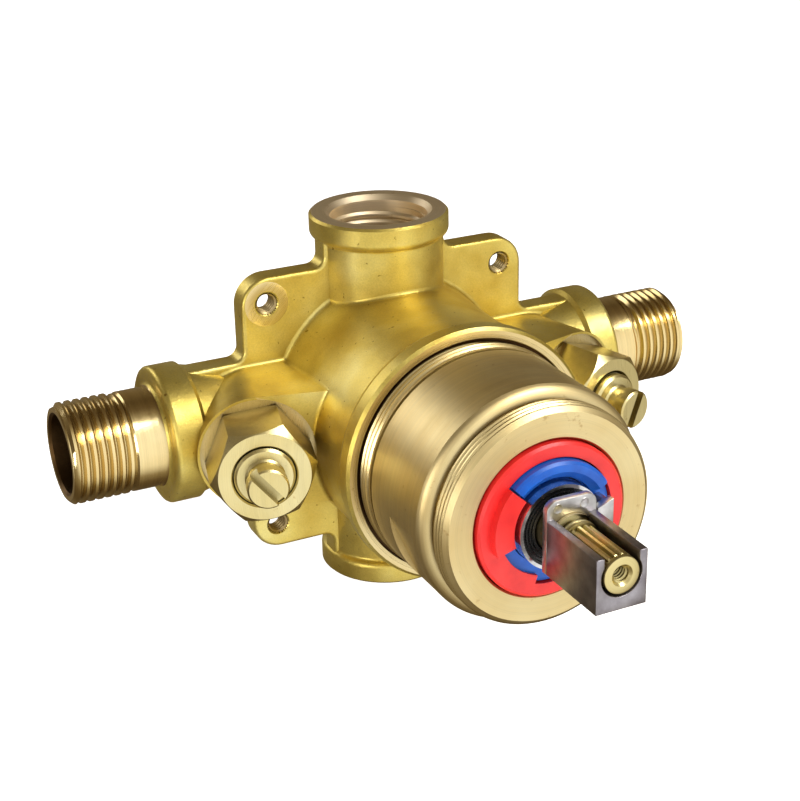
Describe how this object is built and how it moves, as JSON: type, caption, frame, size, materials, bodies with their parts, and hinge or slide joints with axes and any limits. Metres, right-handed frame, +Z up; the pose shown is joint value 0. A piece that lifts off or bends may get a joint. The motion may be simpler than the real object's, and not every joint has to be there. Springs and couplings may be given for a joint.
{
  "type": "concealed shower valve body",
  "caption": "Brass in-wall shower mixer body with threaded inlets, outlet ports, screwdriver stops, bonnet and a square handle adapter.",
  "frame": {"origin": "centre of the four fixing holes, on the back face of the ears", "axes": "+X from the hot inlet to the cold inlet, -Y to the front along the spindle, +Z up"},
  "size_m": [0.1432, 0.11, 0.0806],
  "materials": {
    "cast_brass": "as cast, satin",
    "machined_brass": "turned, bright",
    "red_plastic": "satin moulding",
    "blue_plastic": "satin moulding",
    "black_plastic": "turned grooves",
    "white_plastic": "moulded",
    "cast_zinc": "die cast",
    "bright_steel": "bright",
    "ceramic": "lapped",
    "rubber": "moulded"
  },
  "bodies": {
    "valve": {"valve_body": "cast_brass", "bonnet": "machined_brass", "body_seal": "rubber", "bonnet_seal": "rubber", "hot_limit_ring": "red_plastic", "limit_cam": "blue_plastic", "retaining_ring": "bright_steel", "spindle_collar": "black_plastic", "cartridge_base": "white_plastic", "cartridge_shell": "white_plastic", "cartridge_seals": "rubber", "fixed_disc": "ceramic", "balance_sleeve": "bright_steel", "balance_plug": "bright_steel", "left_stop_nut": "machined_brass", "right_stop_nut": "machined_brass"},
    "spindle_set": {"spindle": "machined_brass", "spindle_seals": "rubber", "handle_adapter": "cast_zinc", "disc_carrier": "white_plastic", "moving_disc": "ceramic"},
    "balance_spool": {"balance_spool": "bright_steel"},
    "left_plug": {"left_stop_plug": "machined_brass", "left_seat_washer": "rubber"},
    "left_stem": {"left_stop_stem": "machined_brass", "left_stem_seal": "rubber"},
    "right_plug": {"right_stop_plug": "machined_brass", "right_seat_washer": "rubber"},
    "right_stem": {"right_stop_stem": "machined_brass", "right_stem_seal": "rubber"}
  },
  "joints": [
    {"name": "spindle_turn", "type": "hinge", "parent": "valve", "child": "spindle_set", "pos_m": [0, -0.08, 0], "axis": [0, 1, 0], "range_deg": [0, 104]},
    {"name": "balance_slide", "type": "slide", "parent": "valve", "child": "balance_spool", "axis": [1, 0, 0], "range_m": [-0.0022, 0.0022]},
    {"name": "left_lift", "type": "slide", "parent": "valve", "child": "left_plug", "axis": [-0.2588, -0.9659, 0], "range_m": [-0.00405, 0.00155]},
    {"name": "left_turn", "type": "hinge", "parent": "left_plug", "child": "left_stem", "pos_m": [-0.03145, -0.0017, 0], "axis": [-0.2588, -0.9659, 0], "range_deg": [-972.01, 372.01]},
    {"name": "right_lift", "type": "slide", "parent": "valve", "child": "right_plug", "axis": [0.2588, -0.9659, 0], "range_m": [-0.00535, 0.00025]},
    {"name": "right_turn", "type": "hinge", "parent": "right_plug", "child": "right_stem", "pos_m": [0.03145, -0.0017, 0], "axis": [0.2588, -0.9659, 0], "range_deg": [-1284.01, 60.01]}
  ],
  "couplings": [
    {"joint": "left_turn", "follows": "left_lift", "rad_per_m": 4188.8},
    {"joint": "right_turn", "follows": "right_lift", "rad_per_m": 4188.8}
  ]
}
